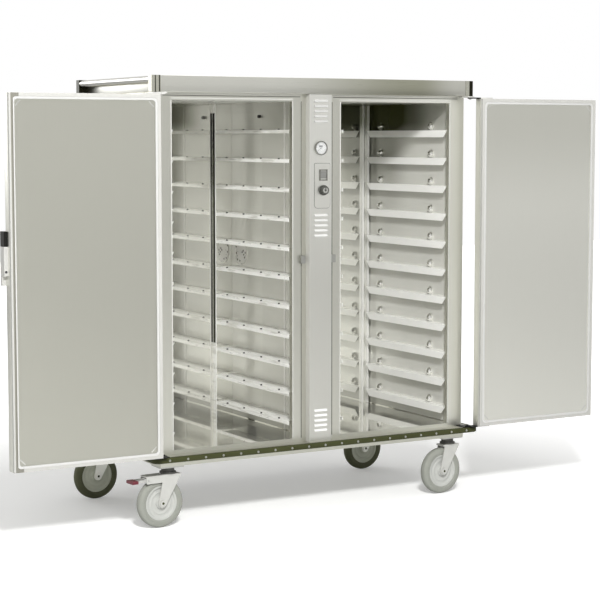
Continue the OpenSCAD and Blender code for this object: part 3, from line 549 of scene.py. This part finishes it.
wool = Finish("mineral_wool", Roughness=0.95)
fibre = wool.noise(wool.place((1, 6, 1)), 40.0, 6.0)
wool.set(Base_Color=wool.blend(fibre, (0.62, 0.55, 0.30), (0.84, 0.78, 0.50)))
wool.emboss(fibre, 0.6, 0.004)
dress(wool.material, "insulation")


# Duct, fan and heater
# A duct panel in the left compartment's inner wall covers the fan, its motor
# and the heating element, which all sit in the cavity between the liners.

duct = Finish("stainless_duct")
knob_base_x = -0.0358
knob = 1 - duct.past("X", knob_base_x)
grain = duct.noise(duct.place(grain_scale("y", 260, 5)), 1.0, 2.0)
sheet = duct.blend(grain, (0.88, 0.877, 0.825), (0.94, 0.937, 0.885))
duct.set(Base_Color=duct.blend(knob, sheet, (0.02, 0.02, 0.02)),
         Metallic=(1 - knob) * 0.52, Roughness=duct.level(grain, 0.25, 0.275))
dress(duct.material, "duct_panel")

# The guard over the fan is a shallow solid dish; its perforations are dark spots painted on it as
# the shade seen through holes
guard = Finish("fan_guard_steel", Metallic=0.7)
cells = guard.node("TexVoronoi", {"Vector": guard.place(), "Scale": 62.0, "Randomness": 0.8},
                   out="Distance")
guard.set(Base_Color=guard.blend(guard.below(cells, 0.30), (0.78, 0.77, 0.74),
                                 (0.11, 0.105, 0.09)),
          Roughness=guard.level(cells, 0.25, 0.40))
guard.emboss(cells, 0.25, 0.0008)
low, high = (Vector(v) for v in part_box("fan_guard"))
reach = (high.y - low.y) / 2
bm = bmesh.new()
turned(bm, [(0.0005, 0.0012), (reach - 0.006, 0.0012), (reach - 0.003, 0.0018),
            (reach - 0.0008, 0.0016), (reach - 0.0003, 0.0), (0.0005, 0.0),
            (0.0005, 0.0012)], 48)
stand_on(bm, Vector((-1, 0, 0)), Vector((high.x, (low.y + high.y) / 2, (low.z + high.z) / 2)))
cover = made("fan_guard_plate", bm, guard.material, "cabinet")
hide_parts("fan_guard")

cast = Finish("fan_alloy", Metallic=0.85)
grit = cast.noise(cast.place(), 90.0, 4.0)
cast.set(Base_Color=cast.blend(grit, (0.32, 0.32, 0.33), (0.45, 0.45, 0.46)),
         Roughness=cast.level(grit, 0.35, 0.5))
dress(cast.material, "fan_impeller", "fan_motor", "thermostat_body")
tinted = Finish("heater_tube_steel", Metallic=1.0)
heat = tinted.noise(tinted.place((1, 1, 5)), 8.0, 3.0)
tinted.set(Base_Color=tinted.blend(heat, (0.30, 0.22, 0.17), (0.42, 0.38, 0.40)),
           Roughness=tinted.level(heat, 0.35, 0.5))
dress(tinted.material, "heating_element")


# Racks and tray guides
# Ladders of wide inner ledges face rows of outer runners with a hanging
# flange; pressed domes and small buttons keep each tray in its lane.

rack_steel = Finish("stainless_rack", Metallic=0.22)
streak = rack_steel.noise(rack_steel.place((150, 7, 60)), 1.0, 3.0)
# Painted reflection: long light and darker bands along the ledges, over the steel's own streaks
painted_reflection_bands = rack_steel.rise(streak, 0.50, 0.64)
rack_steel.set(Base_Color=rack_steel.blend(painted_reflection_bands, (0.96, 0.957, 0.925), (0.70, 0.695, 0.65)),
               Roughness=rack_steel.level(streak, 0.24, 0.34))
dress(rack_steel.material, "inner_racks")
runner_steel = Finish("stainless_runner", Metallic=0.22)
haze = runner_steel.noise(runner_steel.place((3, 20, 3)), 1.0, 2.0)
runner_steel.set(Base_Color=runner_steel.blend(haze, (0.92, 0.917, 0.885), (0.97, 0.967, 0.935)),
                 Roughness=runner_steel.level(haze, 0.26, 0.32))
dress(runner_steel.material, "outer_runners")

# Domes on the outer walls are bright steel, the small buttons on the ledges dark plastic
guides = Finish("tray_guide_steel")
dome = guides.past("X", 0.3) + (1 - guides.past("X", -0.3))
smear = guides.noise(guides.place(), 60.0, 2.0)
guides.set(Base_Color=guides.blend(dome, (0.02, 0.02, 0.02), (0.90, 0.897, 0.87)),
           Metallic=dome, Roughness=guides.level(smear, 0.07, 0.12))
dress(guides.material, "tray_guides")

# Posts behind the racks, and a bright strip on the flange of each slotted upright
post_steel = brushed("stainless_post", (0.97, 0.967, 0.945), "z", rough=(0.18, 0.26),
                     streak=0.03, metal=0.35)
low, high = (Vector(v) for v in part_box("inner_racks"))
ledge_x, ground_z, back_y, roof_z = high.x, low.z, high.y, high.z
post_z = (ground_z + 0.0005, roof_z - 0.0005)
sides = (("left", -1), ("right", 1))
for name, side in sides:
    bm = bmesh.new()
    for near, far in ((0.6445, 0.6465), (0.6730, 0.6745)):
        side_block(bm, side, near, far, (back_y - 0.0185, back_y - 0.0005), post_z, 0.0004)
    side_block(bm, side, 0.0352, 0.0366, (-0.142, -0.130), post_z, 0.0004)
    side_block(bm, side, ledge_x + 0.0001, ledge_x + 0.0008,
               (back_y - 0.0310, back_y - 0.0222), post_z)
    made("rack_posts_" + name, bm, post_steel, "cabinet", smooth=False)

# The dark sheet in the slot beside that strip is painted shade, blackest at its top and at its
# front
slot_black = Finish("slot_shadow", Specular_IOR_Level=0.1)
slot_speckle = slot_black.noise(slot_black.place(), 50.0)
upper = slot_black.either(slot_black.past("Z", 1.50),
                          1 - slot_black.past("Y", back_y - 0.0120))
dim_slot = slot_black.blend(slot_speckle, (0.050, 0.052, 0.028), (0.075, 0.078, 0.045))
slot_black.set(Base_Color=slot_black.blend(upper, dim_slot, (0.004, 0.004, 0.003)),
               Roughness=slot_black.level(slot_speckle, 0.45, 0.65))
for name, side in sides:
    bm = bmesh.new()
    side_block(bm, side, ledge_x + 0.0001, ledge_x + 0.0004,
               (back_y - 0.0212, back_y - 0.0020), (ground_z + 0.331, roof_z - 0.0402))
    made("upright_slot_" + name, bm, slot_black.material, "cabinet", smooth=False)


# Centre column and controls
# The column between the doors has three groups of pressed louvres, a round
# thermometer, and a plate with the power switch and the thermostat knob.

louvred = Finish("stainless_louvred_column")
# Painted light and shade: the column's face is lighter higher up, the louvre hoods are lighter
# lower down, and the hoods and the column's left side get a paler, less metallic copy of the steel
hood = 1 - louvred.past("Y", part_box("control_plate")[1][1] - 0.0004)
flank = 1 - louvred.past("X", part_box("centre_column")[0][0] + 0.0008)
pale = louvred.either(hood, flank)
scratch = louvred.noise(louvred.place(grain_scale("z", 900, 7)), 1.0, 3.0)
face = louvred.blend(louvred.ramp("Z", 0.9, 1.4), (0.75, 0.747, 0.705), (0.92, 0.917, 0.875))
scratched = louvred.blend(scratch * 0.12, face, (0.5, 0.5, 0.47))
hood_painted_light = louvred.blend(louvred.ramp("Z", 0.7, 1.6), (0.74, 0.74, 0.72), (0.46, 0.46, 0.445))
hood_or_flank = louvred.blend(hood, (0.57, 0.567, 0.53), hood_painted_light)
louvred.set(Base_Color=louvred.blend(pale, scratched, hood_or_flank),
            Metallic=1 - pale * 0.65, Roughness=louvred.level(scratch, 0.30, 0.40))
dress(louvred.material, "centre_column")

# The control plate has rounded lower corners and a thin dark seam all round
low, high = (Vector(v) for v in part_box("control_plate"))


def plate(grow, front, back):
    """The plate's box grown by a margin, between two distances in front of its back."""
    bm = bmesh.new()
    block(bm, (low.x - grow, high.y - front, low.z - grow),
          (high.x + grow, high.y - back, high.z + grow))
    middle = (low.z + high.z) / 2
    for lower, radius in ((True, 0.014), (False, 0.003)):
        corners = [e for e in bm.edges if length_on(e, "y") > 0.0005
                   and (e.verts[0].co.z < middle) == lower]
        rounded(bm, corners, radius + grow, 6)
    return bm


seam = Finish("seam_shadow", Metallic=0.0)
mottle = seam.noise(seam.place(), 80.0)
seam.set(Base_Color=seam.blend(mottle, (0.10, 0.10, 0.095), (0.16, 0.16, 0.15)),
         Roughness=seam.level(mottle, 0.5, 0.7))
made("control_plate_seam", plate(0.0016, 0.0007, 0.0), seam.material, "cabinet")
plate_steel = brushed("stainless_column", (0.86, 0.857, 0.815), "z", rough=(0.30, 0.40))
face_plate = made("control_plate_face", plate(0.0, 0.0020, 0.0007), plate_steel, "cabinet")
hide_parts("control_plate")

ring_steel = brushed("bezel_steel", (0.30, 0.30, 0.28), "z", rough=(0.20, 0.28))
dress(ring_steel, "thermometer_bezel", "switch_bezel")
dial_white = Finish("dial_white", Roughness=0.45)
print_grain = dial_white.noise(dial_white.place(), 300.0)
dial_white.set(Base_Color=dial_white.blend(print_grain, (0.37, 0.37, 0.36), (0.41, 0.41, 0.40)))
dress(dial_white.material, "thermometer_dial")
dark_plastic = Finish("dark_plastic")
mould = dark_plastic.noise(dark_plastic.place(), 380.0, 2.0)
dark_plastic.set(Base_Color=dark_plastic.blend(mould, (0.028, 0.028, 0.030),
                                               (0.045, 0.045, 0.047)),
                 Roughness=dark_plastic.level(mould, 0.34, 0.48))
dark_plastic.emboss(mould, 0.08, 0.0003)
dress(dark_plastic.material, "power_inlet", "thermometer_needle")
pane = Finish("thermometer_pane", Base_Color=(0.92, 0.94, 0.94), Roughness=0.05)
pane.set(Alpha=pane.level(pane.noise(pane.place(), 25.0), 0.07, 0.12))
dress(pane.material, "thermometer_glass")
grey_plastic = Finish("grey_plastic")
mould = grey_plastic.noise(grey_plastic.place(), 300.0, 2.0)
grey_plastic.set(Base_Color=grey_plastic.blend(mould, (0.13, 0.13, 0.122),
                                               (0.155, 0.155, 0.147)),
                 Roughness=grey_plastic.level(mould, 0.36, 0.5))
dress(grey_plastic.material, "switch_rocker")

# The knob has a grey ring on its face inside its dark skirt, and a pale pointer
low, high = (Vector(v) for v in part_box("thermostat_knob"))
mid = (low + high) / 2
face_radius, centre_radius = 0.0115, 0.0045
knob_plastic = Finish("knob_plastic")
mould = knob_plastic.noise(knob_plastic.place(), 300.0, 2.0)
from_middle = knob_plastic.node(
    "VectorMath", {0: knob_plastic.place((1, 0, 1), shift=(-mid.x, 0, -mid.z))},
    out="Value", operation="LENGTH")
grey_ring = (knob_plastic.below(from_middle, face_radius)
        - knob_plastic.below(from_middle, centre_radius))
skirt = knob_plastic.blend(mould, (0.040, 0.041, 0.036), (0.060, 0.061, 0.054))
knob_plastic.set(Base_Color=knob_plastic.blend(grey_ring, skirt, (0.22, 0.22, 0.205)),
                 Roughness=knob_plastic.level(mould, 0.36, 0.5))
dress(knob_plastic.material, "thermostat_knob")
bm = bmesh.new()
block(bm, (mid.x - 0.0022, low.y, mid.z - 0.002), (mid.x + 0.0022, low.y + 0.0021, mid.z + 0.0165),
      0.0008, 1)
turned(bm, [(0.0001, 0.0), (0.0085, 0.0), (0.0095, 0.0006), (0.0095, 0.0012),
            (0.0001, 0.0012), (0.0001, 0.0)], 24)
cap = [v for v in bm.verts if v.co.length < 0.02]
stand_on(bm, Vector((0, -1, 0)), Vector((mid.x, low.y + 0.0033, mid.z)), cap)
made("knob_pointer", bm, dial_white.material, "thermostat")

# Ticks round the dial, and a plain block for its small mark
low, high = (Vector(v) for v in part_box("thermometer_dial"))
mid = (low + high) / 2
ticks, tick_start, tick_sweep = 12, -130, 260
tick_ring, tick_half = 0.0195, Vector((0.0004, 0.0002, 0.00225))
bm = bmesh.new()
for i in range(ticks):
    ring_top = Vector((0, 0, tick_ring))
    tick = block(bm, ring_top - tick_half, ring_top + tick_half)
    angle = math.radians(tick_start + i * tick_sweep / (ticks - 1))
    bmesh.ops.rotate(bm, verts=tick, cent=(0, 0, 0), matrix=Matrix.Rotation(angle, 3, "Y"))
    bmesh.ops.translate(bm, verts=tick, vec=(mid.x, high.y - 0.0017, mid.z))
block(bm, (mid.x - 0.009, high.y - 0.0018, mid.z + 0.004),
      (mid.x + 0.009, high.y - 0.0012, mid.z + 0.011))
made("dial_scale", bm, dark_plastic.material, "cabinet", smooth=False)


# Roof and push bars
# The roof cover is a folded tray turned upside down; a polished tube on each
# short side is held between two corner brackets.

fascia = Finish("stainless_roof_cover", Metallic=1.0)
run = fascia.noise(fascia.place(grain_scale("x", 900, 7)), 1.0, 3.0)
# Painted reflection: the cover is light at its left end, dark in the middle and lighter again at
# the far right
bright_reflection_end = fascia.blend(run, (0.70, 0.697, 0.65), (0.77, 0.767, 0.72))
middle = fascia.blend(run, (0.38, 0.378, 0.30), (0.42, 0.418, 0.34))
far_half_reflection = fascia.blend(fascia.ramp("X", 0.48, 0.68), middle, (0.64, 0.637, 0.59))
fascia.set(Base_Color=fascia.blend(fascia.ramp("X", -0.25, 0.45), bright_reflection_end, far_half_reflection),
           Roughness=fascia.level(run, 0.24, 0.36))
low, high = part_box("roof_cover")
bm = bmesh.new()
block(bm, low, high, edge=0.0018, segments=3)
roof = made("roof_folded_cover", bm, fascia.material, "cabinet")
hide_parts("roof_cover")

bar_chrome = Finish("push_bar_steel", Metallic=1.0)
grain = bar_chrome.noise(bar_chrome.place(grain_scale("y", 420, 5)), 1.0, 2.0)
wave = bar_chrome.noise(bar_chrome.place((1.4, 1.4, 3.0)), 2.2, 2.0)
bar_chrome.set(Base_Color=bar_chrome.blend(wave, (0.684, 0.67925, 0.646), (0.756, 0.75075, 0.714)),
               Roughness=bar_chrome.level(grain * 0.5 + wave * 0.5, 0.24, 0.32))
bar_chrome.emboss(wave * 0.8 + grain * 0.01, 0.35, 0.004)
dress(bar_chrome.material, "push_bars")

# The brackets are plated; the rear left one is painted black as shade, and two bands on the front
# left one and the outer end of the front right one are painted dark as reflection
bracket = Finish("bracket_steel", Metallic=0.85)
rubbed = bracket.noise(bracket.place(grain_scale("z", 420, 5)), 1.0, 2.0)
rear_left = (1 - bracket.past("X", 0.0)) * bracket.past("Y", 0.0)
front = 1 - bracket.past("Y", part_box("push_bar_brackets")[0][1] + 0.008)
dark_reflection_bands = (bracket.past("X", 0.7400) * front
         + (1 - bracket.past("X", -0.7220)) * bracket.past("X", -0.7265)
         + (1 - bracket.past("X", -0.7400)) * bracket.past("X", -0.7440))
plated = bracket.blend(rubbed, (0.42, 0.418, 0.36), (0.50, 0.497, 0.44))
bracket.set(Base_Color=bracket.blend(bracket.either(rear_left, dark_reflection_bands), plated,
                                     (0.015, 0.015, 0.008)),
            Roughness=bracket.level(rubbed, 0.22, 0.34))
dress(bracket.material, "push_bar_brackets")


# Hinges and strikers
# Short pins stand in lugs at the roof and deck corners; the strikers that
# hold the latches sit on the frame beside the column.

def two_tone(name, axis, at, low_part, high_part):
    """A part in two finishes that meet at a plane; each is (colour, metallic, roughness)."""
    fin = Finish(name, Specular_IOR_Level=0.2)
    above = fin.past(axis, at)
    patch = fin.noise(fin.place(), 42.0, 4.0)
    shade = fin.level(patch, 0.94, 1.06)
    tone = fin.blend(above, low_part[0], high_part[0])
    fin.set(Base_Color=fin.node("Mix", {0: 0.25, 6: tone, 7: shade}, out=2, data_type="RGBA",
                                blend_type="MULTIPLY"),
            Metallic=(1 - above) * low_part[1] + above * high_part[1],
            Roughness=(1 - above) * low_part[2] + above * high_part[2] + patch * 0.06)
    return fin.material


dark_part = ((0.008, 0.008, 0.007), 0.0, 0.40)
pale_part = ((0.62, 0.617, 0.59), 0.5, 0.30)
half_height = 1.0
dress(two_tone("hinge_steel", "Z", half_height, dark_part, pale_part), "hinge_brackets")
dress(rivet_dull, "door_strikers")


# Doors
# Each door is a brushed hollow pan closed by an inner panel, whose raised rim
# stands inside a pale rubber gasket. Both stand open.

gasket = Finish("gasket_rubber")
skin = gasket.noise(gasket.place((1, 1, 0.2)), 90.0, 3.0)
left_inner_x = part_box("door_left_inner")[0][0]
# Painted shade: a strip of the left door's gasket along its outer edge is darker
shadowed = gasket.past("X", left_inner_x - 0.0055) * (1 - gasket.past("X", -1.330))
pale_rubber = gasket.blend(skin, (0.36, 0.357, 0.335), (0.42, 0.417, 0.395))
gasket.set(Base_Color=gasket.blend(shadowed, pale_rubber, (0.17, 0.165, 0.14)),
           Roughness=gasket.level(skin, 0.45, 0.60))
gasket.emboss(skin, 0.06, 0.0004)
rim_steel = brushed("stainless_door_rim", (0.80, 0.797, 0.765), "z", rough=(0.24, 0.32))
pan_steel = brushed("stainless_door_pan", (0.72, 0.717, 0.66), "z", metal=0.75)
black_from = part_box("latch_left_case")[1][2] - 0.056
latch_steel = two_tone("latch_case", "Z", black_from, pale_part, dark_part)
arm_steel = {"left": two_tone("door_arm_left", "Z", half_height, dark_part, pale_part),
             "right": two_tone("door_arm_right", "X", 0.758, dark_part, pale_part)}
# Painted light and shade: each panel's tone goes from a lower to an upper one between two heights
panel_light_ramps = {"left": ((0.45, 1.5), (0.56, 0.557, 0.50), (0.68, 0.677, 0.61)),
               "right": ((1.2, 1.65), (0.93, 0.927, 0.87), (0.74, 0.737, 0.68))}
pressing_half, pressing_inset = Vector((0.015, 0.0015, 0.003)), 0.024

for name, side in sides:
    low, high = (Vector(v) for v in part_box(f"door_{name}_shell"))
    bm = bmesh.new()
    block(bm, low, high, edge=0.0020, segments=3)
    pan = made(f"door_{name}_pan", bm, pan_steel, f"door_{name}")
    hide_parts(f"door_{name}_shell")
    dress(gasket.material, f"door_{name}_gasket")
    dress(arm_steel[name], f"door_{name}_arms")
    dress(latch_steel, f"latch_{name}_case")
    dress(zinc.material, f"latch_{name}_lever")

    # The panel's raised rim is a paler, less metallic copy of the steel as painted highlight, and
    # its outer edge on the left door is painted shadow
    low, high = (Vector(v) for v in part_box(f"door_{name}_inner"))
    heights, lower, upper = panel_light_ramps[name]
    panel = Finish(f"door_{name}_panel_steel")
    rim = 1 - panel.past("Y", low.y + 0.0042)
    scratch = panel.noise(panel.place(grain_scale("z", 900, 7)), 1.0, 3.0)
    tone = panel.blend(panel.ramp("Z", *heights), lower, upper)
    in_shadow = (1 - panel.past("X", low.x + 0.0042)) * float(name == "left")
    edge = panel.blend(in_shadow, (0.58, 0.58, 0.565), (0.17, 0.165, 0.14))
    field = panel.blend(scratch * 0.10, tone, (0.45, 0.447, 0.41))
    panel.set(Base_Color=panel.blend(rim, field, edge),
              Metallic=1 - rim * 0.65, Roughness=panel.level(scratch, 0.28, 0.38))
    dress(panel.material, f"door_{name}_inner")

    # A dark keyhole low on the latch case
    case_low, case_high = (Vector(v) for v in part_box(f"latch_{name}_case"))
    bm = bmesh.new()
    turned(bm, [(0.0001, 0.0), (0.0045, 0.0), (0.0050, 0.0004), (0.0001, 0.0004),
                (0.0001, 0.0)], 24)
    keyhole_x = side * (abs(case_high.x + case_low.x) / 2 + 0.0155)
    stand_on(bm, Vector((0, -1, 0)), Vector((keyhole_x, case_low.y, case_low.z + 0.052)))
    made(f"latch_{name}_keyhole", bm, dark_plastic.material, f"door_{name}")

    # A short pressing crosses each corner of the panel
    bm = bmesh.new()
    for x, sx in ((low.x, 1), (high.x, -1)):
        for z, sz in ((low.z, 1), (high.z, -1)):
            bar = block(bm, -pressing_half, pressing_half, edge=0.0012)
            bmesh.ops.rotate(bm, verts=bar, cent=(0, 0, 0),
                             matrix=Matrix.Rotation(math.radians(45 * sx * sz), 3, "Y"))
            bmesh.ops.translate(bm, verts=bar, vec=(x + sx * pressing_inset, low.y + 0.0055,
                                                    z + sz * pressing_inset))
    made(f"door_{name}_corner_pressings", bm, rim_steel, f"door_{name}")
